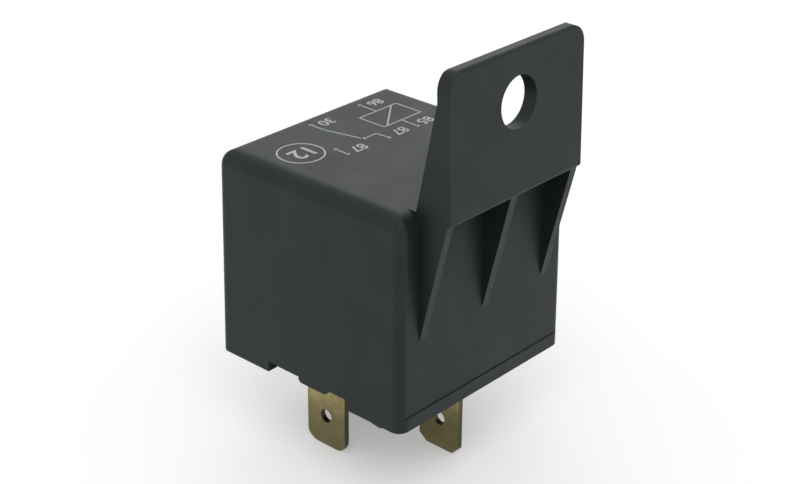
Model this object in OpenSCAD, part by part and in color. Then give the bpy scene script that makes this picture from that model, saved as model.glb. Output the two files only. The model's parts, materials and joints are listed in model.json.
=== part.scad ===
// Plug-in automotive relay with one change-over contact, five flat blades and a moulded bracket.
// Origin: centre of the cover's open rim. +Z points to the closed top, -Y to the bracket.
// The armature is drawn released, with the moving contact on the normally closed side.

/* [Cover] */
// Width of the cover at its rim, across the bracket
cover_w = 30; // [29:0.1:32]
// Depth of the cover at its rim, from the bracket side to the contact side
cover_d = 30; // [29.5:0.1:32]
// Height of the cover from the rim to the top
cover_h = 27; // [26:0.1:30]
// Thickness of the side walls
wall_t = 1.4; // [1.2:0.05:1.6]
// Thickness of the top
top_t = 1.5; // [1.2:0.05:2]
// How far each side wall leans in by the top
draft = 0.3; // [0.1:0.05:0.5]
// Radius of the four upright edges
corner_r = 1.2; // [0.8:0.1:1.8]
// Radius of the edges round the top
top_r = 2; // [1.2:0.1:2.6]
// Height of the proud band at the rim, on the bracket side and the contact side
band_h = 1.75; // [1:0.05:2.5]
// How far the band stands proud of the wall
band_proud = 0.1; // [0.05:0.05:0.2]
// Length of the notch in the rim on each side
notch_l = 13.4; // [10:0.1:15]
// How far the middle of that notch lies towards the bracket
notch_shift = 0.2; // [0:0.05:0.6]
// Height of that notch
notch_h = 1.4; // [0.8:0.05:1.8]

/* [Bracket] */
// Width of the bracket plate
plate_w = 23.3; // [20:0.1:25]
// Thickness of the plate
plate_t = 1.75; // [1.5:0.05:2.2]
// Height of the plate above the cover's top
plate_rise = 17; // [15:0.1:20]
// How far the plate's lower edge hangs below the cover's top
plate_hang = 0.6; // [0.3:0.05:0.9]
// Distance from the cover's rim to the outer face of the plate
plate_out = 3.95; // [3.5:0.05:4.5]
// Lean of the plate towards the cover
plate_lean = 2; // [0:0.5:3]
// Radius of the plate's two top corners
plate_corner_r = 2.3; // [1:0.1:4]
// Diameter of the fixing hole
hole_d = 6.2; // [5.4:0.1:6.6]
// Height of the hole above the cover's top
hole_rise = 10.7; // [9.5:0.1:11.5]
// Thickness of the shelf that joins the plate to the cover
shelf_t = 1.6; // [1.2:0.05:2]
// Thickness of the ribs and gussets
rib_t = 1.15; // [0.8:0.05:1.5]
// Length of the ribs below the cover's top
rib_drop = 16; // [12:0.1:18]
// Height of the two outer gussets above the cover's top
gusset_rise = 13.5; // [8:0.1:14.5]

/* [Blades] */
// Width of each blade
blade_w = 6.3; // [6:0.05:6.6]
// Thickness of each blade
blade_t = 0.8; // [0.75:0.01:0.85]
// Reach of the blades below the rim
blade_l = 11.4; // [10:0.1:12.5]
// Distance of the two coil blades from the cover's sides
coil_in = 5.8; // [5.4:0.05:5.9]
// How far the coil blades sit towards the contact side
coil_y = 2.1; // [1.9:0.05:2.3]
// Diameter of the hole in each blade
eye_d = 1.8; // [1.5:0.05:2]
// Height of that hole above the blade's tip
eye_up = 4.4; // [3.8:0.1:5]
// Radius of the tip corners on the coil blades
coil_tip_r = 1.7; // [1:0.1:2.2]
// Chamfer of the tip corners on the load blades
load_tip_c = 1.1; // [0.6:0.1:1.6]
// Length of the bevel at each tip
bevel_l = 1; // [0.6:0.1:1.6]
// Depth of the bevel on each face
bevel_t = 0.2; // [0.1:0.02:0.3]

/* [Base] */
// Thickness of the base plate
base_t = 3.5; // [3.2:0.05:4]
// Depth of the base's underside above the rim
base_inset = 0.1; // [0.05:0.05:0.4]
// Length of the boss beside each coil blade
boss_l = 4.8; // [3:0.1:5.4]
// Height of that boss
boss_h = 0.75; // [0.4:0.05:1]
// Length of each snap nib
nib_l = 4; // [3:0.1:6]
// Reach of each snap nib
nib_out = 0.3; // [0.2:0.05:0.4]

/* [Magnet] */
// Thickness of the bent yoke
yoke_t = 1.6; // [1.4:0.05:1.8]
// Width of the yoke and the armature
yoke_w = 13; // [12:0.1:14]
// Free space behind the yoke, for the leaf and its rivets
yoke_space = 2; // [1.8:0.05:2.3]
// Diameter of the core, as a share of the winding's
core_share = 0.43; // [0.4:0.01:0.46]
// How far the pole face stands out round the core
pole_rim = 1.4; // [1:0.05:1.8]
// Thickness of the pole face
pole_t = 0.6; // [0.5:0.05:0.9]
// Free space between the bobbin and the load terminal in front of it
coil_space = 1.8; // [1.4:0.05:2.4]
// Step from the bobbin's flanges down to the winding
winding_step = 0.5; // [0.4:0.05:0.9]
// Free space between the bobbin's flanges and the coil blades beside them
flange_space = 0.75; // [0.6:0.05:1.2]
// Thickness of the bobbin's flanges
flange_t = 1.2; // [1.1:0.05:1.4]
// Thickness of the bobbin's tube
tube_t = 0.85; // [0.7:0.05:1.1]
// Side of the square coil pins
pin_s = 0.6; // [0.5:0.05:0.7]
// Diameter of the winding's lead ends
lead_d = 0.3; // [0.2:0.02:0.36]

/* [Contacts] */
// Thickness of the armature
armature_t = 1.5; // [1.3:0.05:1.7]
// Angle by which the armature stands open when released
open_angle = 3.2; // [2.6:0.1:3.4]
// Thickness of the contact leaf
leaf_t = 0.3; // [0.25:0.01:0.35]
// Width of the leaf at its rivets
leaf_w = 9; // [8.4:0.1:9.6]
// Width of the leaf at its contact
leaf_tip_w = 4.4; // [4:0.1:5]
// Diameter of the contact heads
contact_d = 3.2; // [2.8:0.1:3.4]
// Thickness of the contact heads
contact_t = 0.8; // [0.6:0.05:0.9]
// Diameter of the rivets that hold the leaf
rivet_d = 1.6; // [1.4:0.05:1.8]
// Free space between the contact tabs and the cover's front wall
front_space = 0.6; // [0.5:0.05:0.9]

/* [Fits] */
// Clearance round pieces that are pushed together
fit_gap = 0.05; // [0.02:0.01:0.08]
// Space left between parts that must not touch
air_gap = 0.2; // [0.15:0.01:0.3]
// Space left between contact faces that only meet under load
touch_gap = 0.02; // [0.01:0.01:0.03]

/* [Hidden] */

hull_fn = 32;      // facets of rounded corners inside a hull
round_fn = 64;     // facets of true circles
crown_fn = 720;    // facets of the flat crown's large circle
cut = 1;           // how far a cutting tool runs past a face
thin = 0.01;       // thickness of a hull's slices
top_steps = 8;     // slices in the rounded top edge
leaf_steps = 16;   // flats in the leaf's bend

// Cover: the cavity keeps the wall thickness all the way up
cavity_r = max(corner_r - wall_t, 0.6);
cavity_h = cover_h - top_t;
body_w = cover_w;
band_w = cover_w - 2 * band_proud;
body_d = cover_d - 2 * band_proud;
cavity_w = body_w - 2 * wall_t;
cavity_d = body_d - 2 * wall_t;
post_r = 1.5;

// Bracket, in the plane of its outer face
plate_y = -(cover_d / 2 + plate_out);
plate_z = cover_h - plate_hang;
plate_h = (plate_rise + plate_hang) / cos(plate_lean);
plate_edge_r = 0.45;
plate_back_y = plate_y + plate_t / cos(plate_lean);
root_y = -(body_d / 2 - 0.6 * wall_t);
rib_x = (plate_w - rib_t) / 2;
mid_gusset_rise = hole_rise - hole_d / 2 - 1.2;

// Base
coil_x = cover_w / 2 - coil_in;
base_w = cavity_w - 2 * fit_gap;
base_d = cavity_d - 2 * fit_gap;
base_top = base_inset + base_t;
nib_h = 0.9;
nib_z = base_inset + 2.1;
nib_x = 7;
boss_in = 1.3;
boss_c = 0.35;
boss_shift = -1.6;
shoulder_drop = 0.8;
rail_w = 0.9;
rail_h = 0.9;

// Load terminals in plan: their contact tabs stop short of the cover's front wall
bend_small = 0.3;
tab_rim = 0.3;
tab_half = contact_d / 2 + tab_rim;
contact_y = cavity_d / 2 - draft - front_space - tab_half;
load_pitch = contact_y - contact_d / 2 - bend_small - blade_t / 2;
riser_front = load_pitch - blade_t / 2;
no_riser_w = 5;
shank_small = contact_d / 2;
nc_space = front_space + 0.2;
nc_riser_back = cavity_d / 2 - draft - nc_space - blade_t;
nc_riser_x = blade_w / 2 + 1.2;
nc_riser_w = 3.4;
nc_run_z = base_inset + 0.9;
nc_run_turn = 1.6;
nc_run_slope = 2.8;

// Magnet in plan: it fills the space between the cover's rear wall and the load terminal
yoke_back = -(cavity_d / 2 - draft - yoke_space);
yoke_front = yoke_back + yoke_t;
bend_in = 0.5;
flange_front = riser_front - coil_space;
flange_d = flange_front - yoke_front - bend_in;
flange_w = 2 * (coil_x - blade_t / 2 - flange_space);
flange_r = 2;
winding_d = min(flange_d, flange_w) - 2 * winding_step;
core_d = core_share * winding_d;
pole_d = core_d + 2 * pole_rim;
core_y = flange_front - flange_d / 2;
shank_d = core_d - 1.6;
foot_past = 4;
foot_end = core_y + shank_d / 2 + foot_past;
foot_top = base_top + yoke_t;
tube_d = core_d + 2 * fit_gap + 2 * tube_t;
ear_w = 1.5;
ear_h = 1.2;
tenon_w = 2.4;
tenon_y = -load_pitch + blade_w / 2 - tenon_w / 2;

// Armature and leaf in the armature's own frame, whose origin is the knife edge
pivot_inset = 0.1;
pivot_y = yoke_back + pivot_inset;
contact_reach = contact_y - pivot_y;
leaf_low = armature_t;
leaf_high = armature_t + leaf_t;
upper_t = 0.5;
crown_h = 0.1;
crown_r = (pow(contact_d / 2, 2) + pow(crown_h, 2)) / (2 * crown_h);
apex_up = leaf_high + upper_t + crown_h;
apex_down = leaf_low - contact_t - crown_h;
apex_rise = contact_reach * sin(open_angle) + apex_up * cos(open_angle);
pole_past = 2;
armature_end = core_y - pivot_y + pole_d / 2 + pole_past;
armature_nose = 3;
armature_rivet_x = 2.6;
armature_rivet_y = armature_end / 2;
leaf_bend_r = 1.5;
leaf_mid = leaf_t / 2;
leaf_window = 3.2;
leaf_neck = 2.5;
leaf_neck_in = 1;
leaf_corner = 1;
window_up = 2;
window_in = 3.15;
rivet_head_t = 0.5;
rivet_head_d = rivet_d + 0.9;

// Heights: the contacts hang under the cover's top, and the winding takes what is left below
head_room = 1.3;
nc_button_t = 0.5;
tail_t = 0.3;
nc_tab_z = cavity_h - head_room - tail_t - blade_t;
nc_face = nc_tab_z - nc_button_t;
pivot_z = nc_face - touch_gap - apex_rise;
pole_z = pivot_z - touch_gap;
no_tab_z = pivot_z + apex_down - touch_gap - contact_t - blade_t;
flange2_top = pole_z - pole_t;
winding_z = foot_top + flange_t;
winding_h = flange2_top - flange_t - winding_z;
yoke_rivet_x = 3;
yoke_rivet_drop = 4.2;
yoke_rivet_z = pole_z - yoke_rivet_drop;
leaf_past = 2;
leaf_foot = yoke_rivet_z - leaf_past;

// Centre of the leaf's bend, from the knife edge, placed so that both flat ends run into it
bend_y = leaf_bend_r - leaf_mid - pivot_inset;
bend_z = (leaf_low + leaf_mid - leaf_bend_r + bend_y * sin(open_angle)) / cos(open_angle);

// Coil pins sit in the middle of the lower flange
pin_z = foot_top + flange_t / 2;
pin_in = 1.8;
pin_out = coil_x + blade_t / 2 + 1.4;
fork_top = pin_z + 1.2;
fork_w = 2.4;

// ---- shared shapes ----

// Rectangle with round corners, centred
module rounded_rect(w, d, r) {
    square([w - 2 * r, d], center = true);
    square([w, d - 2 * r], center = true);
    for (x = [-1, 1], y = [-1, 1])
        translate([x * (w / 2 - r), y * (d / 2 - r)])
            circle(r, $fn = round_fn);
}

// Extrudes a Y-Z outline along X, centred
module along_x(w) {
    translate([-w / 2, 0, 0])
        rotate([90, 0, 90])
            linear_extrude(w)
                children();
}

// Extrudes an X-Z outline along +Y, from the plane y = 0
module along_y(t) {
    translate([0, t, 0])
        rotate([90, 0, 0])
            linear_extrude(t)
                children();
}

// Four thin round posts at the corners of a rectangle, as one slice of a hull
module corner_slice(w, d, r, z) {
    for (x = [-1, 1], y = [-1, 1])
        translate([x * (w / 2 - r), y * (d / 2 - r), z])
            cylinder(r = r, h = thin, $fn = hull_fn);
}

// Box with leaning sides, round upright edges and a rounded top edge
module moulded_box(w, d, h, lean, side_r, edge_r, z0) {
    hull() {
        corner_slice(w, d, side_r, z0);
        for (i = [0 : top_steps])
            let (
                a = 90 * i / top_steps,
                z = h - edge_r + edge_r * sin(a),
                inset = lean * z / h + edge_r * (1 - cos(a)),
                r = max(side_r - edge_r * (1 - cos(a)), thin)
            )
                corner_slice(w - 2 * inset, d - 2 * inset, r, z - thin);
    }
}

// Puts children, drawn in the armature's closed frame, into the released pose
module released() {
    translate([0, pivot_y, pivot_z])
        rotate([open_angle, 0, 0])
            children();
}

// ---- cover ----

// Plate and shelf of the bracket, as one bent section with round top corners
module bracket_plate() {
    intersection() {
        along_x(plate_w)
            plate_section();
        translate([0, plate_y - cut, 0])
            along_y(plate_out + wall_t + 2 * cut)
                plate_outline();
    }
}

// Side view of the leaning plate with its rounded edges, and of the shelf behind it
module plate_section() {
    translate([plate_y, plate_z])
        rotate(-plate_lean)
            translate([plate_t / 2, plate_h / 2])
                rounded_rect(plate_t, plate_h, plate_edge_r);
    polygon([
        [plate_y + plate_t / 2, plate_z + plate_edge_r],
        [plate_back_y, cover_h - shelf_t],
        [root_y, cover_h - shelf_t],
        [-(body_d / 2 - draft - top_r), cover_h - top_t / 2],
        [-(body_d / 2 - draft - top_r), cover_h - thin],
        [plate_y + plate_t / 2, cover_h - thin]
    ]);
}

// Front view of the plate: square below, rounded at the top corners
module plate_outline() {
    top = plate_z + plate_h * cos(plate_lean);
    low = cover_h - shelf_t - cut;
    translate([-plate_w / 2, low])
        square([plate_w, top - plate_corner_r - low]);
    translate([-plate_w / 2 + plate_corner_r, low])
        square([plate_w - 2 * plate_corner_r, top - low + cut]);
    for (x = [-1, 1])
        translate([x * (plate_w / 2 - plate_corner_r), top - plate_corner_r])
            circle(plate_corner_r, $fn = round_fn);
}

// One upright web: a rib under the plate and a gusset behind it
module web(x, rise) {
    lean = tan(plate_lean);
    foot = cover_h - rib_drop;
    translate([x, 0, 0])
        along_x(rib_t)
            polygon([
                [-(body_d / 2 - draft * foot / cover_h), foot],
                [root_y, foot],
                [root_y, cover_h - top_r],
                [-(body_d / 2 - draft - top_r * 0.4), cover_h - top_r * 0.5],
                [plate_back_y + rise * lean, cover_h + rise],
                [plate_back_y - plate_t / 2 + rise * lean, cover_h + rise],
                [plate_y + plate_t / 2, plate_z + plate_edge_r],
                [plate_y + plate_edge_r, plate_z + plate_edge_r / 4]
            ]);
}

module fixing_hole() {
    translate([0, plate_y, plate_z])
        rotate([-plate_lean, 0, 0])
            translate([0, 0, (hole_rise + plate_hang) / cos(plate_lean)])
                rotate([-90, 0, 0])
                    translate([0, 0, -cut])
                        cylinder(d = hole_d, h = plate_t + 2 * cut, $fn = round_fn);
}

// Wedge with a lead-in below and a square ledge above, drawn at the +Y side
module nib(reach, l, extra) {
    along_x(l + 2 * extra)
        polygon([
            [-cut / 2, nib_z - extra - reach],
            [0, nib_z - extra - reach],
            [reach, nib_z - extra],
            [reach, nib_z + nib_h + extra],
            [-cut / 2, nib_z + nib_h + extra]
        ]);
}

// Places children at the four snap nibs
module at_nibs(d) {
    for (side = [0, 180], x = [-nib_x, nib_x])
        rotate(side)
            translate([x, d / 2, 0])
                children();
}

module cover() {
    color([0.22, 0.23, 0.24])
    difference() {
        union() {
            difference() {
                union() {
                    moulded_box(body_w, body_d, cover_h, draft, corner_r, top_r, 0);
                    linear_extrude(band_h)
                        rounded_rect(band_w, cover_d, corner_r + band_proud);
                    bracket_plate();
                    for (x = [-rib_x, rib_x])
                        web(x, gusset_rise);
                    web(0, mid_gusset_rise);
                }
                moulded_box(cavity_w, cavity_d, cavity_h, draft, cavity_r, cavity_r, -cut);
            }
            corner_posts();
        }
        fixing_hole();
        translate([-cover_w / 2 - cut, -notch_shift - notch_l / 2, -cut])
            cube([cover_w + 2 * cut, notch_l, notch_h + cut]);
        at_nibs(cavity_d)
            nib(nib_out, nib_l, fit_gap);
    }
}

// Posts inside the corners that stop on the base
module corner_posts() {
    x = cavity_w / 2 - draft;
    y = cavity_d / 2 - draft;
    intersection() {
        for (sx = [-1, 1], sy = [-1, 1])
            translate([sx * x, sy * y, base_top + fit_gap])
                cylinder(r = post_r, h = cavity_h - base_top, $fn = round_fn);
        translate([-x - wall_t / 2, -y - wall_t / 2, 0])
            cube([2 * x + wall_t, 2 * y + wall_t, cavity_h + top_t / 2]);
    }
}

// ---- base ----

// Slot for one blade: full width below, narrower above so that the blade's shoulders stop in it
module blade_slot(upper_w) {
    w = blade_w + 2 * fit_gap;
    t = blade_t + 2 * fit_gap;
    translate([-w / 2, -t / 2, -boss_h - cut])
        cube([w, t, boss_h + cut + base_top - shoulder_drop]);
    translate([-upper_w / 2 - fit_gap, -t / 2, 0])
        cube([upper_w + 2 * fit_gap, t, base_top + cut]);
}

module base() {
    color([0.13, 0.13, 0.14])
    difference() {
        union() {
            translate([0, 0, base_inset])
                linear_extrude(base_t)
                    rounded_rect(base_w, base_d, cavity_r);
            at_nibs(base_d)
                nib(nib_out, nib_l, 0);
            for (side = [0, 1])
                mirror([side, 0, 0])
                    side_boss();
            foot_rails();
        }
        for (x = [-coil_x, coil_x])
            translate([x, coil_y, 0])
                rotate(90)
                    blade_slot(fork_w);
        translate([0, -load_pitch, 0])
            rotate(90)
                blade_slot(blade_w);
        translate([0, load_pitch, 0])
            blade_slot(no_riser_w);
        run_channel();
    }
}

// Boss on the underside, between a coil blade and the edge
module side_boss() {
    translate([base_w / 2 - boss_in, coil_y + boss_shift - boss_l / 2, base_inset - boss_h])
        rotate([90, 0, 90])
            linear_extrude(boss_in - fit_gap)
                polygon([
                    [0, boss_h + thin],
                    [0, boss_c],
                    [boss_c, 0],
                    [boss_l - boss_c, 0],
                    [boss_l, boss_c],
                    [boss_l, boss_h + thin]
                ]);
}

// Two low rails that locate the yoke's foot
module foot_rails() {
    y0 = yoke_front;
    for (x = [-1, 1])
        translate([x * (yoke_w / 2 + fit_gap + rail_w / 2) - rail_w / 2, y0, base_top - thin])
            cube([rail_w, foot_end - y0, rail_h + thin]);
}

// Channel for the flat run of terminal 87a, open below, and the slot for its riser
module run_channel() {
    translate([0, 0, -cut])
        linear_extrude(nc_run_z + blade_t + fit_gap + cut)
            run_outline(fit_gap);
    translate([nc_riser_x - fit_gap, nc_riser_back - fit_gap, 0])
        cube([nc_riser_w + 2 * fit_gap, blade_t + 2 * fit_gap, base_top + cut]);
}

// Plan of the flat run, from the centre blade to the riser
module run_outline(extra) {
    e = extra;
    h = blade_w / 2;
    x0 = nc_riser_x;
    x1 = nc_riser_x + nc_riser_w;
    y1 = riser_front - nc_run_turn;
    y0 = y1 - nc_run_slope;
    step = nc_run_slope / 4;
    polygon([
        [-h - e, -blade_t / 2 - e],
        [h + e, -blade_t / 2 - e],
        [h + e, y0 - step],
        [x1 + e, y1 - step],
        [x1 + e, nc_riser_back + blade_t + e],
        [x0 - e, nc_riser_back + blade_t + e],
        [x0 - e, y1 + step],
        [-h - e, y0 - step]
    ]);
}

// ---- blades ----

// Front view of a blade from its tip up to a height, with round tip corners
module round_tip(up) {
    r = coil_tip_r;
    translate([-blade_w / 2, -blade_l + r])
        square([blade_w, blade_l - r + up]);
    translate([-blade_w / 2 + r, -blade_l])
        square([blade_w - 2 * r, r + thin]);
    for (x = [-1, 1])
        translate([x * (blade_w / 2 - r), -blade_l + r])
            circle(r, $fn = round_fn);
}

// The same with chamfered tip corners
module cut_tip(up) {
    c = load_tip_c;
    h = blade_w / 2;
    polygon([
        [-h, up], [-h, c - blade_l], [c - h, -blade_l],
        [h - c, -blade_l], [h, c - blade_l], [h, up]
    ]);
}

// Blade with bevelled tip and hole: wide along X, thin along Y. The child is its front view
module blade(up) {
    t = blade_t / 2;
    difference() {
        intersection() {
            translate([0, -t, 0])
                along_y(blade_t)
                    children();
            along_x(blade_w + 2 * cut)
                polygon([
                    [-t, up], [-t, bevel_l - blade_l], [bevel_t - t, -blade_l],
                    [t - bevel_t, -blade_l], [t, bevel_l - blade_l], [t, up]
                ]);
        }
        translate([0, -t - cut, eye_up - blade_l])
            rotate([-90, 0, 0])
                cylinder(d = eye_d, h = blade_t + 2 * cut, $fn = round_fn);
    }
}

module coil_terminal() {
    shoulder = base_top - shoulder_drop;
    rotate(90) {
        blade(shoulder)
            round_tip(shoulder);
        difference() {
            translate([-fork_w / 2, -blade_t / 2, shoulder - thin])
                cube([fork_w, blade_t, fork_top - shoulder + thin]);
            translate([-pin_s / 2 - fit_gap, -blade_t, pin_z - pin_s / 2])
                cube([pin_s + 2 * fit_gap, 2 * blade_t, fork_top]);
        }
    }
}

module terminal_85() {
    color([0.78, 0.66, 0.36])
    translate([-coil_x, coil_y, 0])
        coil_terminal();
}

module terminal_86() {
    color([0.78, 0.66, 0.36])
    translate([coil_x, coil_y, 0])
        coil_terminal();
}

// The tenon at the top is staked into the yoke's foot
module terminal_30() {
    shoulder = base_top - shoulder_drop;
    color([0.78, 0.66, 0.36]) {
        translate([0, -load_pitch, 0])
            rotate(90)
                blade(base_top)
                    cut_tip(base_top);
        translate([-blade_t / 2, tenon_y - tenon_w / 2, shoulder])
            cube([blade_t, tenon_w, foot_top - shoulder]);
    }
}

// Bent strip section: up at y = 0..t, then forward to y = reach, inner radius r, top at z
module bent_strip(z0, z, reach, t, r) {
    translate([0, z0])
        square([t, z - r - t - z0]);
    translate([t + r - thin, z - t])
        square([reach - t - r + thin, t]);
    translate([t + r, z - t - r])
        intersection() {
            difference() {
                circle(r + t, $fn = round_fn);
                circle(r, $fn = round_fn);
            }
            translate([-r - t, -thin])
                square(r + t + thin);
        }
}

module terminal_87() {
    shoulder = base_top - shoulder_drop;
    reach = contact_y + tab_half - riser_front;
    color([0.78, 0.66, 0.36])
    difference() {
        union() {
            translate([0, load_pitch, 0])
                blade(shoulder)
                    cut_tip(shoulder);
            translate([0, riser_front, 0])
                along_x(no_riser_w)
                    bent_strip(shoulder - thin, no_tab_z + blade_t, reach, blade_t, bend_small);
        }
        contact_hole(no_tab_z);
    }
}

// Hole for a contact's shank in a flat tab that starts at height z
module contact_hole(z) {
    translate([0, contact_y, z - cut])
        cylinder(d = shank_small, h = blade_t + 2 * cut, $fn = round_fn);
}

module terminal_87a() {
    tip = -tab_half;
    run_top = nc_run_z + blade_t;
    tab_front = contact_y - tab_half;
    color([0.78, 0.66, 0.36])
    difference() {
        union() {
            blade(run_top)
                cut_tip(run_top);
            translate([0, 0, nc_run_z])
                linear_extrude(blade_t)
                    run_outline(0);
            translate([nc_riser_x, nc_riser_back, nc_run_z])
                cube([nc_riser_w, blade_t, nc_tab_z + blade_t - nc_run_z]);
            translate([0, 0, nc_tab_z])
                linear_extrude(blade_t)
                    polygon([
                        [tip, tab_front],
                        [nc_riser_x + nc_riser_w, tab_front],
                        [nc_riser_x + nc_riser_w, nc_riser_back + blade_t],
                        [nc_riser_x, nc_riser_back + blade_t],
                        [nc_riser_x, contact_y + tab_half],
                        [tip, contact_y + tab_half]
                    ]);
        }
        contact_hole(nc_tab_z);
    }
}

// ---- magnet ----

module yoke() {
    color([0.62, 0.63, 0.65])
    difference() {
        union() {
            translate([0, yoke_back, 0])
                along_x(yoke_w)
                    mirror([0, 1])
                        bent_strip(-pole_z, -base_top, foot_end - yoke_back, yoke_t, bend_in);
            for (x = [-1, 1])
                translate([x * (yoke_w - ear_w) / 2 - ear_w / 2, yoke_back, pole_z - thin])
                    cube([ear_w, yoke_t, ear_h + thin]);
        }
        translate([0, core_y, base_top - cut])
            cylinder(d = shank_d, h = yoke_t + 2 * cut, $fn = round_fn);
        translate([-blade_t / 2, tenon_y - tenon_w / 2, base_top - cut])
            cube([blade_t, tenon_w, yoke_t + 2 * cut]);
        for (x = [-yoke_rivet_x, yoke_rivet_x])
            translate([x, yoke_back - cut, yoke_rivet_z])
                rotate([-90, 0, 0])
                    cylinder(d = rivet_d, h = yoke_t + 2 * cut, $fn = round_fn);
    }
}

// Turned core: swaged shank, body and pole face
module core() {
    chamfer = 0.2;
    color([0.7, 0.71, 0.73])
    translate([0, core_y, 0])
        rotate_extrude($fn = round_fn)
            polygon([
                [0, base_top],
                [shank_d / 2, base_top],
                [shank_d / 2, foot_top],
                [core_d / 2, foot_top],
                [core_d / 2, flange2_top],
                [pole_d / 2, flange2_top],
                [pole_d / 2, pole_z - chamfer],
                [pole_d / 2 - chamfer, pole_z],
                [0, pole_z]
            ]);
}

module bobbin() {
    color([0.86, 0.84, 0.78])
    translate([0, core_y, 0])
    difference() {
        union() {
            for (z = [foot_top, flange2_top - flange_t])
                translate([0, 0, z])
                    linear_extrude(flange_t)
                        rounded_rect(flange_w, flange_d, flange_r);
            translate([0, 0, foot_top])
                cylinder(d = tube_d, h = flange2_top - foot_top, $fn = round_fn);
        }
        translate([0, 0, foot_top - cut])
            cylinder(d = core_d + 2 * fit_gap, h = flange2_top - foot_top + 2 * cut, $fn = round_fn);
        for (x = [-1, 1])
            translate([x * (flange_w / 2 - pin_in / 2), coil_y - core_y, pin_z])
                cube([pin_in + 2 * thin, pin_s, pin_s], center = true);
    }
}

// Straight round wire from a to b with a small ball at the end, where the next stretch starts
module wire(a, b) {
    v = b - a;
    l = norm(v);
    translate(a)
        rotate([0, acos(v[2] / l), atan2(v[1], v[0])])
            cylinder(d = lead_d, h = l, $fn = 24);
    translate(b)
        sphere(d = lead_d * 1.15, $fn = 32);
}

// Lead end: it leaves the winding, passes the terminal's fork and is wound on the coil pin
module lead_end() {
    turn_r = pin_s * 0.72;
    turns = 3;
    x0 = coil_x + blade_t / 2 + lead_d;
    low = winding_z + lead_d;
    start = [winding_d * 0.34, core_y + winding_d * 0.34, low];
    corner = [flange_w / 2, coil_y + fork_w / 2 + lead_d * 2, low];
    outer = [x0, coil_y + fork_w / 2 + lead_d, low];
    last = [x0, coil_y + turn_r + lead_d / 2, pin_z];
    wire(start, corner);
    wire(corner, outer);
    wire(outer, last);
    translate([x0 - lead_d / 2, coil_y, pin_z])
        rotate([0, 90, 0])
            rotate_extrude($fn = round_fn)
                translate([turn_r, 0]) {
                    square([lead_d / 2, turns * lead_d]);
                    for (i = [0 : turns - 1])
                        translate([lead_d / 2, (i + 0.5) * lead_d])
                            circle(d = lead_d, $fn = 24);
                }
}

module coil_winding() {
    color([0.72, 0.38, 0.2]) {
        translate([0, core_y, winding_z])
            rotate_extrude($fn = round_fn)
                translate([tube_d / 2, 0])
                    square([(winding_d - tube_d) / 2, winding_h]);
        lead_end();
        mirror([1, 0, 0])
            lead_end();
    }
}

module coil_pins() {
    color([0.8, 0.8, 0.78])
    for (x = [-1, 1])
        translate([x * (flange_w / 2 - pin_in + pin_out) / 2, coil_y, pin_z])
            cube([pin_out - flange_w / 2 + pin_in, pin_s, pin_s], center = true);
}

// ---- contacts ----

// Flat lever, narrower between the yoke's ears, with a chamfered rear edge and pulled-in front
module armature() {
    neck = yoke_w - 2 * ear_w - 2 * air_gap;
    shoulder = yoke_t + air_gap - pivot_inset;
    slope = 1.1;
    color([0.66, 0.67, 0.69])
    released()
        difference() {
            intersection() {
                linear_extrude(armature_t)
                    polygon([
                        [-neck / 2, 0], [neck / 2, 0], [neck / 2, shoulder],
                        [yoke_w / 2, shoulder], [yoke_w / 2, armature_end - armature_nose],
                        [yoke_w / 2 - armature_nose, armature_end],
                        [armature_nose - yoke_w / 2, armature_end],
                        [-yoke_w / 2, armature_end - armature_nose], [-yoke_w / 2, shoulder],
                        [-neck / 2, shoulder]
                    ]);
                along_x(yoke_w + 2 * cut)
                    polygon([
                        [0, 0], [armature_end, 0], [armature_end, armature_t],
                        [leaf_bend_r, armature_t], [0, armature_t - slope]
                    ]);
            }
            for (x = [-armature_rivet_x, armature_rivet_x])
                translate([x, armature_rivet_y, -cut])
                    cylinder(d = rivet_d, h = armature_t + 2 * cut, $fn = round_fn);
        }
}

// Side view of the leaf in world directions, with the knife edge as origin: foot, bend, flat end
module leaf_side() {
    reach = contact_reach + leaf_tip_w / 2 - bend_y * cos(open_angle) - bend_z * sin(open_angle);
    turn = 90 - open_angle;
    function at(r, i) = [bend_y - r * cos(turn * i / leaf_steps), bend_z + r * sin(turn * i / leaf_steps)];
    function end(r) = at(r, leaf_steps) + reach * [cos(open_angle), sin(open_angle)];
    outer = leaf_bend_r + leaf_mid;
    inner = leaf_bend_r - leaf_mid;
    polygon(concat(
        [[bend_y - outer, leaf_foot - pivot_z]],
        [for (i = [0 : leaf_steps]) at(outer, i)],
        [end(outer), end(inner)],
        [for (i = [leaf_steps : -1 : 0]) at(inner, i)],
        [[bend_y - inner, leaf_foot - pivot_z]]
    ));
}

// Plan of the leaf in the armature's frame: full width over foot and rivets, narrow at the contact
module leaf_plan() {
    y0 = -2 * leaf_bend_r;
    y1 = armature_end - leaf_neck_in;
    y2 = y1 + leaf_neck;
    end = contact_reach + leaf_tip_w / 2;
    half = leaf_w / 2;
    tip = leaf_tip_w / 2;
    c = leaf_corner;
    polygon([
        [-half, y0], [half, y0], [half, y1], [tip, y2], [tip, end - c], [tip - c, end],
        [c - tip, end], [-tip, end - c], [-tip, y2], [-half, y1]
    ]);
}

// Opening across the leaf's bend, from above the yoke's rivets to just before the armature's
module leaf_opening() {
    from = yoke_back - 2 * leaf_bend_r;
    to = pivot_y + armature_rivet_y - rivet_head_d / 2 - window_in;
    low = yoke_rivet_z + window_up;
    translate([-leaf_window / 2, from, low])
        cube([leaf_window, to - from, pivot_z + 2 * leaf_bend_r - low]);
}

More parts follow.
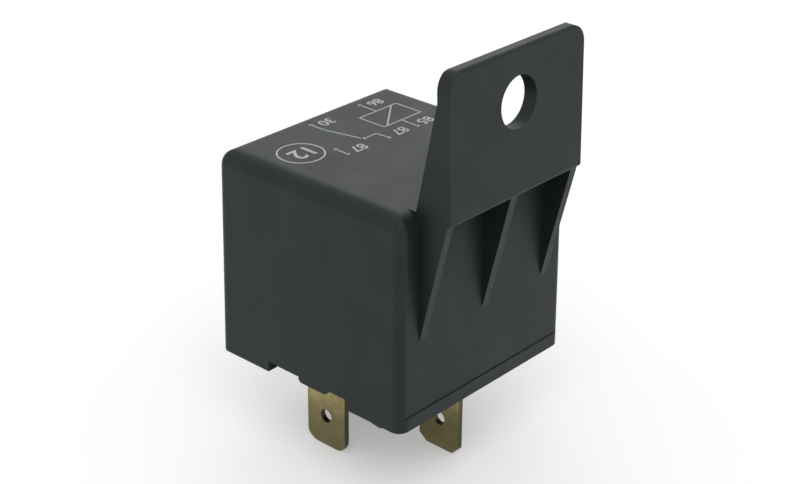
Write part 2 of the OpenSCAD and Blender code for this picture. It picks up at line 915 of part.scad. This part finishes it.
module contact_spring() {
    color([0.8, 0.56, 0.38])
    difference() {
        intersection() {
            translate([0, pivot_y, pivot_z])
                along_x(leaf_w + 2 * cut)
                    leaf_side();
            released()
                translate([0, 0, leaf_foot - pivot_z - 2 * cut])
                    linear_extrude(pivot_z - leaf_foot + 3 * cut + leaf_high)
                        leaf_plan();
        }
        leaf_opening();
        for (x = [-yoke_rivet_x, yoke_rivet_x])
            translate([x, yoke_back - cut, yoke_rivet_z])
                rotate([-90, 0, 0])
                    cylinder(d = rivet_d, h = 2 * cut, $fn = round_fn);
        released() {
            for (x = [-armature_rivet_x, armature_rivet_x])
                translate([x, armature_rivet_y, leaf_low - cut])
                    cylinder(d = rivet_d, h = leaf_t + 2 * cut, $fn = round_fn);
            translate([0, contact_reach, leaf_low - cut])
                cylinder(d = shank_small, h = leaf_t + 2 * cut, $fn = round_fn);
        }
    }
}

// Rivet with its head up and its shank down from z = 0, flush at depth l
module rivet(l) {
    edge = 0.15;
    rotate_extrude($fn = round_fn)
        polygon([
            [0, -l],
            [rivet_d / 2, -l],
            [rivet_d / 2, 0],
            [rivet_head_d / 2, 0],
            [rivet_head_d / 2, rivet_head_t - edge],
            [rivet_head_d / 2 - edge, rivet_head_t],
            [0, rivet_head_t]
        ]);
}

module armature_rivets() {
    color([0.75, 0.75, 0.76])
    released()
        for (x = [-armature_rivet_x, armature_rivet_x])
            translate([x, armature_rivet_y, leaf_high])
                rivet(leaf_t + armature_t);
}

module yoke_rivets() {
    color([0.75, 0.75, 0.76])
    for (x = [-yoke_rivet_x, yoke_rivet_x])
        translate([x, yoke_back - leaf_t, yoke_rivet_z])
            rotate([90, 0, 0])
                rivet(leaf_t + yoke_t);
}

// Contact head on z = 0 with a flat rim of thickness t and a low crown
module crowned_head(t) {
    rotate_extrude($fn = round_fn)
        intersection() {
            square([contact_d / 2, t + crown_h]);
            translate([0, t + crown_h - crown_r])
                circle(crown_r, $fn = crown_fn);
        }
}

module moving_contact() {
    color([0.85, 0.85, 0.83])
    released()
        translate([0, contact_reach, 0]) {
            translate([0, 0, leaf_high])
                crowned_head(upper_t);
            translate([0, 0, leaf_low])
                cylinder(d = shank_small, h = leaf_t, $fn = round_fn);
            translate([0, 0, leaf_low])
                mirror([0, 0, 1])
                    crowned_head(contact_t);
        }
}

// Fixed contact on a tab: head of thickness t, shank through the tab and a flat tail
module fixed_contact(t) {
    tail_d = shank_small + 0.7;
    rotate_extrude($fn = round_fn)
        polygon([
            [0, -blade_t - tail_t],
            [tail_d / 2, -blade_t - tail_t],
            [tail_d / 2, -blade_t],
            [shank_small / 2, -blade_t],
            [shank_small / 2, 0],
            [contact_d / 2, 0],
            [contact_d / 2, t],
            [0, t]
        ]);
}

module fixed_contact_no() {
    color([0.85, 0.85, 0.83])
    translate([0, contact_y, no_tab_z + blade_t])
        fixed_contact(contact_t);
}

module fixed_contact_nc() {
    color([0.85, 0.85, 0.83])
    translate([0, contact_y, nc_tab_z])
        mirror([0, 0, 1])
            fixed_contact(nc_button_t);
}

cover();
base();
terminal_30();
terminal_85();
terminal_86();
terminal_87();
terminal_87a();
yoke();
core();
bobbin();
coil_winding();
coil_pins();
armature();
contact_spring();
armature_rivets();
yoke_rivets();
moving_contact();
fixed_contact_no();
fixed_contact_nc();
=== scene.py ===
import json
import math

import bmesh
import bpy
from mathutils import Matrix, Vector

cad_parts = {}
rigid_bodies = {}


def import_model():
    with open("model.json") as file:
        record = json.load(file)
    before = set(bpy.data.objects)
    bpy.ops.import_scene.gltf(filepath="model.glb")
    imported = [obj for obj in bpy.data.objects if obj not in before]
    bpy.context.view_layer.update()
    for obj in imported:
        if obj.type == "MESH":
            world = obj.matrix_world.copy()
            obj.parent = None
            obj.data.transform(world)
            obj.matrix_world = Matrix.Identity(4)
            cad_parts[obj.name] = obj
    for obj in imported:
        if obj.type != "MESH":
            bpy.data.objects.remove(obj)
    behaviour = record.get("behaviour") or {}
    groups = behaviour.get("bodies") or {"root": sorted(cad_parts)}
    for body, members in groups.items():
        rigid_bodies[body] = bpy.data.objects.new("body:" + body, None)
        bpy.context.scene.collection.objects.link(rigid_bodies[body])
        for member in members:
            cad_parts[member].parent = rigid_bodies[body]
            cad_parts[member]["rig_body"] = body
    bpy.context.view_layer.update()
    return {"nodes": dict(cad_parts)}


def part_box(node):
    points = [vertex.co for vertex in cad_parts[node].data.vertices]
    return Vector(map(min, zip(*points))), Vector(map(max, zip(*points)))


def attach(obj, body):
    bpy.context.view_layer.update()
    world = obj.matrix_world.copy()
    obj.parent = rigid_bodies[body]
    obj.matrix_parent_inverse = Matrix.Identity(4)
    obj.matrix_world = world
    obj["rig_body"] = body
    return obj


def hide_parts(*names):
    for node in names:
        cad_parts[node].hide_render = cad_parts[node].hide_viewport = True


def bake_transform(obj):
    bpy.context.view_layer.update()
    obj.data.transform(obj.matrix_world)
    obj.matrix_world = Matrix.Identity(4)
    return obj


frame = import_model()
MM = 0.001


# ---- Camera ----
# A long lens looks down over the corner between the plain side and the bracket.
# It stands about 0.22 m away and leans over by half a degree.

CAMERA_PLACE_MM = (-140.711, -126.795, 108.351)
CAMERA_AZIMUTH = -48.2738
CAMERA_ELEVATION = 26.3935
CAMERA_ROLL = 0.6005
LENS_MM, SENSOR_MM = 78.3, 36
NEAREST, FARTHEST = 0.01, 20

az, el, roll = (math.radians(v) for v in (CAMERA_AZIMUTH, CAMERA_ELEVATION, CAMERA_ROLL))
back = Vector((math.sin(az) * math.cos(el), -math.cos(az) * math.cos(el), math.sin(el)))
level = Vector((math.cos(az), math.sin(az), 0))
turned = Matrix.Rotation(roll, 3, back)
right = turned @ level
up = turned @ back.cross(level)
camera = bpy.data.objects.new("camera", bpy.data.cameras.new("camera"))
camera.data.lens = LENS_MM
camera.data.sensor_width = SENSOR_MM
camera.data.clip_start = NEAREST
camera.data.clip_end = FARTHEST
axes = Matrix((right, up, back)).transposed().to_4x4()
camera.matrix_world = Matrix.Translation(Vector(CAMERA_PLACE_MM) * MM) @ axes
bpy.context.scene.collection.objects.link(camera)
bpy.context.scene.camera = camera


# ---- Base plate ----
# Glass-filled nylon, moulded, pressed into the open end of the cover until its nibs snap.
# Its fibres give the dull surface a faint mottle.

def linear(hex_colour):
    """An sRGB hex colour as linear RGBA."""
    parts = [int(hex_colour[i:i + 2], 16) / 255 for i in (1, 3, 5)]
    return tuple(c / 12.92 if c <= 0.04045 else ((c + 0.055) / 1.055) ** 2.4 for c in parts) + (1,)


def add(tree, kind, settings=None, links=None):
    """Adds a node: settings are its properties and input values, links its inputs' sources."""
    made = tree.nodes.new("ShaderNode" + kind)
    for name, value in (settings or {}).items():
        if name in made.inputs:
            made.inputs[name].default_value = value
        else:
            setattr(made, name, value)
    for name, source in (links or {}).items():
        tree.links.new(source, made.inputs[name])
    return made


def surface(name):
    """An empty material, its node tree and the piece's own coordinates."""
    material = bpy.data.materials.new(name)
    material.use_nodes = True
    tree = material.node_tree
    tree.nodes.clear()
    return material, tree, add(tree, "TexCoord").outputs["Object"]


def moulded(name, dark, light, mottle_mm, grain_mm, grain_depth_mm, rough_low, rough_high, gloss):
    """A moulded plastic: faint mottle in colour and gloss, and the mould's spark-eroded grain."""
    material, tree, where = surface(name)
    mottle = add(tree, "TexNoise", {"Scale": 1 / (mottle_mm * MM), "Detail": 3.0}, {"Vector": where})
    flow = add(tree, "MapRange", {"From Min": 0.3, "From Max": 0.7}, {"Value": mottle.outputs["Fac"]})
    tint = add(tree, "MixRGB", {"Color1": linear(dark), "Color2": linear(light)},
               {"Fac": flow.outputs["Result"]})
    dull = add(tree, "MapRange", {"To Min": rough_high, "To Max": rough_low},
               {"Value": flow.outputs["Result"]})
    grain = add(tree, "TexNoise", {"Scale": 1 / (grain_mm * MM), "Detail": 2.0, "Roughness": 0.6},
                {"Vector": where})
    bump = add(tree, "Bump", {"Strength": 1.0, "Distance": grain_depth_mm * MM},
               {"Height": grain.outputs["Fac"]})
    skin = add(tree, "BsdfPrincipled", {"IOR": 1.5, "Specular IOR Level": gloss},
               {"Base Color": tint.outputs["Color"], "Roughness": dull.outputs["Result"],
                "Normal": bump.outputs["Normal"]})
    add(tree, "OutputMaterial", links={"Surface": skin.outputs["BSDF"]})
    return material


# Corners within 0.2 micrometres are one, and an edge flatter than 0.4 degrees is dissolved.
WELD_WITHIN = 2e-7
FLAT_WITHIN = math.radians(0.4)
SMOOTH_UNDER = math.radians(28)
RADIUS_OVER = math.radians(32)


def finished(node, material, edge_mm, rides=True):
    """A copy of a CAD node with merged faces, smooth rounds and a small radius on its edges."""
    source = frame["nodes"][node]
    mesh = source.data.copy()
    mesh.materials.clear()
    mesh.materials.append(material)
    bm = bmesh.new()
    bm.from_mesh(mesh)
    bmesh.ops.remove_doubles(bm, verts=bm.verts, dist=WELD_WITHIN)
    bmesh.ops.dissolve_limit(bm, angle_limit=FLAT_WITHIN, verts=bm.verts, edges=bm.edges,
                             delimit={"NORMAL"})
    for face in bm.faces:
        face.smooth = True
    bm.to_mesh(mesh)
    bm.free()
    mesh.set_sharp_from_angle(angle=SMOOTH_UNDER)
    piece = bpy.data.objects.new(node + "_finished", mesh)
    bpy.context.scene.collection.objects.link(piece)
    if edge_mm:
        edge = piece.modifiers.new("edge_radius", "BEVEL")
        edge.width = edge_mm * MM
        edge.segments = 2
        edge.limit_method = "ANGLE"
        edge.angle_limit = RADIUS_OVER
        edge.material = -1
        even = piece.modifiers.new("even_shading", "WEIGHTED_NORMAL")
        even.keep_sharp = True
        even.weight = 90
    if rides:
        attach(piece, source["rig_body"])
    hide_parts(node)
    return piece


glass_filled_nylon = moulded("glass_filled_nylon_moulded", "#161718", "#1d1e1f", mottle_mm=0.9,
                             grain_mm=0.22, grain_depth_mm=0.012, rough_low=0.5, rough_high=0.6,
                             gloss=0.35)
finished("base", glass_filled_nylon, edge_mm=0.1)


# ---- Blades ----
# Five flat blades stamped from half-hard brass strip, with coined tips and a detent hole.
# They are pushed through the base. Rolling leaves fine lines along the strip, and painted shade darkens the
# tips and the thin edges.

def stamped_brass(name, face_axis):
    """Dull rolled brass with a copper-red bloom, painted shade that darkens it towards the tip and painted
    shade on its thin edges.

    The strip's flat faces look along face_axis.
    """
    line_mm, line_depth_mm, line_stretch = 0.12, 0.004, 0.06
    stain_mm, bloom_mm = 2.2, 1.3
    tip_shade_starts_mm, tip_shade_full_mm = -3.2, -6.8
    material, tree, where = surface(name)
    along = add(tree, "Mapping", {"Scale": (1, 1, line_stretch)}, {"Vector": where})
    lines = add(tree, "TexNoise", {"Scale": 1 / (line_mm * MM), "Detail": 3.0},
                {"Vector": along.outputs["Vector"]})
    bump = add(tree, "Bump", {"Strength": 1.0, "Distance": line_depth_mm * MM},
               {"Height": lines.outputs["Fac"]})
    stain = add(tree, "TexNoise", {"Scale": 1 / (stain_mm * MM), "Detail": 4.0, "Roughness": 0.6},
                {"Vector": where})
    cloud = add(tree, "MapRange", {"From Min": 0.34, "From Max": 0.66}, {"Value": stain.outputs["Fac"]})
    tone = add(tree, "MixRGB", {"Color1": linear("#887f54"), "Color2": linear("#a69c6a")},
               {"Fac": cloud.outputs["Result"]})
    bloom = add(tree, "TexNoise", {"Scale": 1 / (bloom_mm * MM), "Detail": 3.0}, {"Vector": where})
    patch = add(tree, "MapRange", {"From Min": 0.5, "From Max": 0.68, "To Max": 0.5},
                {"Value": bloom.outputs["Fac"]})
    warm = add(tree, "MixRGB", {"Color2": linear("#8c6a4c")},
               {"Fac": patch.outputs["Result"], "Color1": tone.outputs["Color"]})
    height = add(tree, "SeparateXYZ", links={"Vector": where})
    # Painted shade: the colour grows darker towards the blade's tip.
    low = add(tree, "MapRange", {"From Min": tip_shade_starts_mm * MM, "From Max": tip_shade_full_mm * MM,
                                 "To Max": 0.75}, {"Value": height.outputs["Z"]})
    painted_tip_shade = add(tree, "MixRGB", {"Color2": linear("#655f45")},
                  {"Fac": low.outputs["Result"], "Color1": warm.outputs["Color"]})
    # Painted shade: faces that don't look along the strip's flat axis, its thin edges, are painted dark.
    facing = add(tree, "SeparateXYZ", links={"Vector": add(tree, "NewGeometry").outputs["Normal"]})
    flat = add(tree, "Math", {"operation": "ABSOLUTE"}, {0: facing.outputs[face_axis]})
    edge_shade_mask = add(tree, "MapRange", {"From Min": 0.75, "From Max": 0.35, "To Max": 0.85},
                  {"Value": flat.outputs[0]})
    painted_edge_shade = add(tree, "MixRGB", {"Color2": linear("#454336")},
              {"Fac": edge_shade_mask.outputs["Result"], "Color1": painted_tip_shade.outputs["Color"]})
    dull = add(tree, "MapRange", {"To Min": 0.44, "To Max": 0.32}, {"Value": cloud.outputs["Result"]})
    metal = add(tree, "BsdfPrincipled", {"Metallic": 1.0},
                {"Base Color": painted_edge_shade.outputs["Color"], "Roughness": dull.outputs["Result"],
                 "Normal": bump.outputs["Normal"]})
    add(tree, "OutputMaterial", links={"Surface": metal.outputs["BSDF"]})
    return material


EDGE_RADIUS_MM = 0.05
brass = stamped_brass("brass_strip_stamped", "X")
brass_crosswise = stamped_brass("brass_strip_stamped_crosswise", "Y")
for blade in ("terminal_30", "terminal_85", "terminal_86"):
    finished(blade, brass, edge_mm=EDGE_RADIUS_MM)
for blade in ("terminal_87", "terminal_87a"):
    finished(blade, brass_crosswise, edge_mm=EDGE_RADIUS_MM)


# ---- Yoke and core ----
# Soft iron, zinc plated: the yoke is bent from strip and the core is turned and staked into it.
# The plating is bright with a fine brushed grain from the tumbling drum.

ROUND_UNDER = math.radians(30)


def keep(node, material):
    """Gives a CAD node its material, welds its loose triangles and smooths its rounds."""
    piece = frame["nodes"][node]
    piece.data.materials.clear()
    piece.data.materials.append(material)
    for face in piece.data.polygons:
        face.use_smooth = True
    piece.modifiers.new("weld", "WELD").merge_threshold = WELD_WITHIN
    piece.modifiers.new("creases", "EDGE_SPLIT").split_angle = ROUND_UNDER


def plated(name, dark, light, grain_mm, rough_low, rough_high):
    """A plated or bare metal with a fine tumbled grain."""
    grain_depth_mm = 0.003
    material, tree, where = surface(name)
    grain = add(tree, "TexNoise", {"Scale": 1 / (grain_mm * MM), "Detail": 3.0}, {"Vector": where})
    cloud = add(tree, "MapRange", {"From Min": 0.3, "From Max": 0.7}, {"Value": grain.outputs["Fac"]})
    tone = add(tree, "MixRGB", {"Color1": linear(dark), "Color2": linear(light)},
               {"Fac": cloud.outputs["Result"]})
    dull = add(tree, "MapRange", {"To Min": rough_low, "To Max": rough_high},
               {"Value": cloud.outputs["Result"]})
    bump = add(tree, "Bump", {"Strength": 1.0, "Distance": grain_depth_mm * MM},
               {"Height": grain.outputs["Fac"]})
    metal = add(tree, "BsdfPrincipled", {"Metallic": 1.0},
                {"Base Color": tone.outputs["Color"], "Roughness": dull.outputs["Result"],
                 "Normal": bump.outputs["Normal"]})
    add(tree, "OutputMaterial", links={"Surface": metal.outputs["BSDF"]})
    return material


zinc_plate = plated("zinc_plated_iron", "#8f9298", "#a9acb2", grain_mm=0.3, rough_low=0.28,
                    rough_high=0.42)
for part in ("yoke", "core"):
    keep(part, zinc_plate)


# ---- Bobbin ----
# Natural polyester, moulded, left its own ivory colour with a low sheen.
# It slips over the core and holds the winding between its flanges.

natural_polyester = moulded("polyester_natural_moulded", "#d3cdbb", "#ddd8c8", mottle_mm=1.4,
                            grain_mm=0.3, grain_depth_mm=0.012, rough_low=0.36, rough_high=0.48,
                            gloss=0.5)
keep("bobbin", natural_polyester)


# ---- Winding ----
# Enamelled copper wire, wound on the bobbin in even layers and soldered to the two coil pins.
# The turns show as fine rings, and the enamel is glossy.

def wound_copper():
    """Layers of enamelled wire; the turns are drawn coarser than the real ones so that they show."""
    turn_mm, turn_depth_mm, age_mm = 0.3, 0.05, 1.5
    material, tree, where = surface("copper_wire_enamelled")
    turns = add(tree, "TexWave", {"wave_type": "BANDS", "bands_direction": "Z", "wave_profile": "SIN",
                                  "Scale": math.pi / (10 * turn_mm * MM)}, {"Vector": where})
    bump = add(tree, "Bump", {"Strength": 1.0, "Distance": turn_depth_mm * MM},
               {"Height": turns.outputs["Fac"]})
    age = add(tree, "TexNoise", {"Scale": 1 / (age_mm * MM), "Detail": 3.0}, {"Vector": where})
    cloud = add(tree, "MapRange", {"From Min": 0.35, "From Max": 0.65}, {"Value": age.outputs["Fac"]})
    tone = add(tree, "MixRGB", {"Color1": linear("#a4532b"), "Color2": linear("#bd6a3b")},
               {"Fac": cloud.outputs["Result"]})
    dull = add(tree, "MapRange", {"To Min": 0.26, "To Max": 0.36}, {"Value": cloud.outputs["Result"]})
    wire = add(tree, "BsdfPrincipled", {"Metallic": 1.0, "Coat Weight": 0.6, "Coat Roughness": 0.12},
               {"Base Color": tone.outputs["Color"], "Roughness": dull.outputs["Result"],
                "Normal": bump.outputs["Normal"]})
    add(tree, "OutputMaterial", links={"Surface": wire.outputs["BSDF"]})
    return material


keep("coil_winding", wound_copper())


# ---- Coil pins ----
# Square pins of tinned brass, pressed into the bobbin. They lie in the forks of the two coil blades.
# The tin is a soft grey with little shine.

tinned_brass = plated("tinned_brass_dull", "#9c9c99", "#b9b9b5", grain_mm=0.2, rough_low=0.34,
                      rough_high=0.5)
keep("coil_pins", tinned_brass)


# ---- Armature group ----
# A flat iron lever that rocks on the yoke's edge, held by a bent leaf of rolled bronze.
# Rivets join the two, and the leaf's foot stays on the yoke while its upright part bends.

keep("armature", zinc_plate)

# Bare rolled bronze is a warm tan with a satin sheen.
rolled_bronze = plated("phosphor_bronze_rolled", "#a8794f", "#bd8d60", grain_mm=0.16, rough_low=0.26,
                       rough_high=0.38)
leaf = finished("contact_spring", rolled_bronze, edge_mm=0, rides=False)

# The leaf is cut into rows between the top of the yoke's rivets and its own corner, fine enough for it to
# curve.
LEAF_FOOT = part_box("yoke_rivets")[1].z
LEAF_BEND = 18.97 * MM
LEAF_ROWS = 12
bm = bmesh.new()
bm.from_mesh(leaf.data)
for row in range(1, LEAF_ROWS):
    height = LEAF_FOOT + (LEAF_BEND - LEAF_FOOT) * row / LEAF_ROWS
    bmesh.ops.bisect_plane(bm, geom=bm.verts[:] + bm.edges[:] + bm.faces[:], plane_co=(0, 0, height),
                           plane_no=(0, 0, 1))
bm.to_mesh(leaf.data)
bm.free()
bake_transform(leaf)
for part in ("armature_rivets", "yoke_rivets"):
    keep(part, tinned_brass)


# ---- Contacts ----
# Silver alloy heads, riveted through the leaf and the two fixed tabs.
# The faces are matt from coining.

silver_alloy = plated("silver_alloy_coined", "#b4b4ad", "#cfcfc9", grain_mm=0.25, rough_low=0.3,
                      rough_high=0.44)
for part in ("moving_contact", "fixed_contact_no", "fixed_contact_nc"):
    keep(part, silver_alloy)


# ---- Cover ----
# One moulding of black polyester with the bracket, its ribs and its gussets.
# The mould is spark eroded, so the skin is satin with a fine even grain.

black_polyester = moulded("polyester_black_moulded", "#181f21", "#1b2324", mottle_mm=5, grain_mm=0.3,
                          grain_depth_mm=0.009, rough_low=0.44, rough_high=0.5, gloss=0.25)
finished("cover", black_polyester, edge_mm=0.2)


# ---- Print on the top ----
# Pad print in pale ink: the switch's circuit, the terminals' numbers and a ringed number.
# It reads with its upper edge towards the bracket.

# The top's height and the ink's thickness. Places and sizes on the top are in millimetres.
TOP = 27 * MM
INK = 0.012 * MM
LINE, DOT = 0.2, 0.27
TUCK, LAP = 0.05, 0.03
COIL_LEFT, COIL_RIGHT, COIL_LOW, COIL_HIGH = 10.36, 3.68, 4.7, 8.85
COIL_SLASH = (9.3, 8.72, 4.3, 4.79)
COIL_LEAD, LEAD_LOW, LEAD_HIGH = 6.75, 2.0, 11.7
HOOK_FOOT, HOOK_TURN, HOOK_TIP = (1.65, 2.1), (1.5, 4.05), (-0.5, 4.05)
STUB_FOOT, STUB_TIP = (-5.33, 2.3), (-5.33, 4.25)
ARM_LEAD, ARM_PIVOT, ARM_TIP = -2.0, 9.6, (-0.83, 4.4)
RING_PLACE, RING_RADIUS, RING_LINE = (-8.92, 6.42), 2.84, 0.22
RINGED_PLACE, RINGED_HEIGHT = (-8.92, 6.3), 2.6
DIGIT_HEIGHT, DIGIT_STROKE, DIGIT_SHEET = 1.62, 0.014, 0.01
TERMINAL_DIGITS = (("85", 8.75, 2.5), ("87", 4.08, 2.5), ("87", -3.08, 2.6), ("86", 8.8, 10.9),
                   ("30", 0, 10.9))
ink_mesh = bmesh.new()


def print_bar(x0, y0, x1, y1):
    """A straight printed line between two places on the top, in millimetres."""
    a, b = Vector((x0, y0, 0)), Vector((x1, y1, 0))
    size = Matrix.Diagonal(((b - a).length * MM, LINE * MM, INK, 1))
    turn = Matrix.Rotation(math.atan2(y1 - y0, x1 - x0), 4, "Z")
    centre = (a + b) / 2 * MM + Vector((0, 0, TOP + INK / 2))
    bmesh.ops.create_cube(ink_mesh, size=1, matrix=Matrix.Translation(centre) @ turn @ size)


def print_dot(x, y):
    """A printed dot."""
    centre = Matrix.Translation((x * MM, y * MM, TOP + INK / 2))
    bmesh.ops.create_cone(ink_mesh, cap_ends=True, segments=24, radius1=DOT * MM, radius2=DOT * MM,
                          depth=INK, matrix=centre)


def print_ring(x, y, radius, width):
    """A printed ring, spun from its section."""
    inner, outer = (radius - width / 2) * MM, (radius + width / 2) * MM
    corners = [(inner, 0), (outer, 0), (outer, INK), (inner, INK)]
    verts = [ink_mesh.verts.new((x * MM + r, y * MM, TOP + z)) for r, z in corners]
    edges = [ink_mesh.edges.new((verts[i], verts[(i + 1) % 4])) for i in range(4)]
    bmesh.ops.spin(ink_mesh, geom=verts + edges, cent=(x * MM, y * MM, 0), axis=(0, 0, 1),
                   angle=math.tau, steps=96, use_merge=True)


def print_number(digits, x, y, height):
    """Printed digits, centred at a place on the top, with their upper edge towards the bracket."""
    curve = bpy.data.curves.new("digits", "FONT")
    curve.body = digits
    curve.size = 1
    curve.extrude = DIGIT_SHEET
    curve.offset = DIGIT_STROKE
    holder = bpy.data.objects.new("digits", curve)
    mesh = bpy.data.meshes.new_from_object(holder)
    low, high = (Vector(pick(v.co[i] for v in mesh.vertices) for i in range(3)) for pick in (min, max))
    scale = height * MM / (high.y - low.y)
    fit = Matrix.Diagonal((scale, scale, INK / (high.z - low.z), 1)) @ Matrix.Translation(-(low + high) / 2)
    place = Matrix.Translation((x * MM, y * MM, TOP + INK / 2)) @ Matrix.Rotation(math.pi, 4, "Z")
    mesh.transform(place @ fit)
    ink_mesh.from_mesh(mesh)
    bpy.data.objects.remove(holder)
    bpy.data.meshes.remove(mesh)


# The coil's box with its slash and leads. TUCK and LAP hide the ends under the dots and lines.
print_bar(COIL_LEFT, COIL_LOW, COIL_RIGHT, COIL_LOW)
print_bar(COIL_LEFT, COIL_HIGH, COIL_RIGHT, COIL_HIGH)
for side in (COIL_LEFT, COIL_RIGHT):
    print_bar(side, COIL_LOW - LINE / 2, side, COIL_HIGH + LINE / 2)
print_bar(*COIL_SLASH)
print_bar(COIL_LEAD, LEAD_LOW, COIL_LEAD, COIL_LOW - LAP)
print_bar(COIL_LEAD, COIL_HIGH + LAP, COIL_LEAD, LEAD_HIGH)

# The switch: a hooked lead, the arm that leans from its pivot, and a short straight lead.
print_bar(*HOOK_FOOT, HOOK_TURN[0], HOOK_TURN[1] - TUCK)
print_bar(*HOOK_TURN, *HOOK_TIP)
print_bar(*ARM_TIP, ARM_LEAD - TUCK, ARM_PIVOT)
print_bar(ARM_LEAD, ARM_PIVOT, ARM_LEAD, LEAD_HIGH)
print_bar(*STUB_FOOT, *STUB_TIP)
for x, y in ((COIL_LEAD, LEAD_LOW + TUCK), (COIL_LEAD, LEAD_HIGH - TUCK), HOOK_FOOT, HOOK_TIP,
             (ARM_LEAD, ARM_PIVOT), (ARM_LEAD, LEAD_HIGH - TUCK), STUB_FOOT, STUB_TIP):
    print_dot(x, y)
print_ring(*RING_PLACE, RING_RADIUS, RING_LINE)
for digits, x, y in TERMINAL_DIGITS:
    print_number(digits, x, y, DIGIT_HEIGHT)
print_number("12", *RINGED_PLACE, RINGED_HEIGHT)

bmesh.ops.recalc_face_normals(ink_mesh, faces=ink_mesh.faces)
print_mesh = bpy.data.meshes.new("top_print")
ink_mesh.to_mesh(print_mesh)
ink_mesh.free()
top_print = bpy.data.objects.new("top_print", print_mesh)
bpy.context.scene.collection.objects.link(top_print)


def pad_ink():
    """Pale pad-print ink, a little patchy: it is greyer where it lies thin."""
    wear_mm, wear_depth_mm = 0.35, 0.006
    material, tree, where = surface("pad_print_ink_pale")
    wear = add(tree, "TexNoise", {"Scale": 1 / (wear_mm * MM), "Detail": 4.0, "Roughness": 0.7},
               {"Vector": where})
    solid = add(tree, "MapRange", {"From Min": 0.3, "From Max": 0.5}, {"Value": wear.outputs["Fac"]})
    tone = add(tree, "MixRGB", {"Color1": linear("#85878a"), "Color2": linear("#adafb1")},
               {"Fac": solid.outputs["Result"]})
    dull = add(tree, "MapRange", {"To Min": 0.6, "To Max": 0.5}, {"Value": solid.outputs["Result"]})
    bump = add(tree, "Bump", {"Strength": 1.0, "Distance": wear_depth_mm * MM},
               {"Height": wear.outputs["Fac"]})
    ink = add(tree, "BsdfPrincipled", {"IOR": 1.48},
              {"Base Color": tone.outputs["Color"], "Roughness": dull.outputs["Result"],
               "Normal": bump.outputs["Normal"]})
    add(tree, "OutputMaterial", links={"Surface": ink.outputs["BSDF"]})
    return material


print_mesh.materials.append(pad_ink())
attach(top_print, "frame")


# ---- Studio ----
# Two soft lamps under a pale dome, and a table top of matt white paper at the height of the blades' tips.
# Paper and dome look whiter, seen or mirrored, than the light that they give.

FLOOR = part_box("terminal_85")[0].z
FLOOR_REACH = 3
PAPER_WHITE, PAPER_LIFT = 0.84, 0.28
DOME_LIGHT, DOME_SEEN = 0.7, 1.0
LAMP_SIZE = 0.9
LAMP_AIM = Vector((0, 0, 0.01))
floor_mesh = bpy.data.meshes.new("table_top")
bm = bmesh.new()
bmesh.ops.create_grid(bm, x_segments=1, y_segments=1, size=FLOOR_REACH,
                      matrix=Matrix.Translation((0, 0, FLOOR)))
bm.to_mesh(floor_mesh)
bm.free()
floor = bpy.data.objects.new("table_top", floor_mesh)
bpy.context.scene.collection.objects.link(floor)


def seen(tree):
    """One where a camera, glossy or transmission ray looks, and nought where light is only gathered."""
    path = add(tree, "LightPath").outputs
    direct = add(tree, "Math", {"operation": "MAXIMUM"},
                 {0: path["Is Camera Ray"], 1: path["Is Glossy Ray"]})
    through = add(tree, "Math", {"operation": "MAXIMUM"},
                  {0: direct.outputs[0], 1: path["Is Transmission Ray"]})
    return through.outputs[0]


paper = bpy.data.materials.new("paper_white_matt")
paper.use_nodes = True
tree = paper.node_tree
tree.nodes.clear()
sheet = add(tree, "BsdfDiffuse", {"Color": (PAPER_WHITE, PAPER_WHITE, PAPER_WHITE, 1)})
lift = add(tree, "MapRange", {"To Max": PAPER_LIFT}, {"Value": seen(tree)})
glow = add(tree, "Emission", {"Color": (1, 1, 1, 1)}, {"Strength": lift.outputs["Result"]})
lit = add(tree, "AddShader", None, {0: sheet.outputs["BSDF"], 1: glow.outputs["Emission"]})
add(tree, "OutputMaterial", links={"Surface": lit.outputs["Shader"]})
floor_mesh.materials.append(paper)

world = bpy.data.worlds.new("studio")
bpy.context.scene.world = world
world.use_nodes = True
tree = world.node_tree
tree.nodes.clear()
strength = add(tree, "MapRange", {"To Min": DOME_LIGHT, "To Max": DOME_SEEN}, {"Value": seen(tree)})
dome = add(tree, "Background", {"Color": (1, 1, 1, 1)}, {"Strength": strength.outputs["Result"]})
add(tree, "OutputWorld", links={"Surface": dome.outputs["Background"]})


def softbox(name, place, watts):
    """A square area lamp that faces the object."""
    lamp = bpy.data.lights.new(name, "AREA")
    lamp.energy = watts
    lamp.shape = "SQUARE"
    lamp.size = LAMP_SIZE
    holder = bpy.data.objects.new(name, lamp)
    facing = (LAMP_AIM - Vector(place)).to_track_quat("-Z", "Y").to_matrix().to_4x4()
    holder.matrix_world = Matrix.Translation(place) @ facing
    bpy.context.scene.collection.objects.link(holder)


softbox("key", place=(-0.6, -0.6, 1.2), watts=4.5)
softbox("rim", place=(0.85, 0.75, 0.85), watts=2.2)
bpy.context.scene.view_settings.view_transform = "Standard"
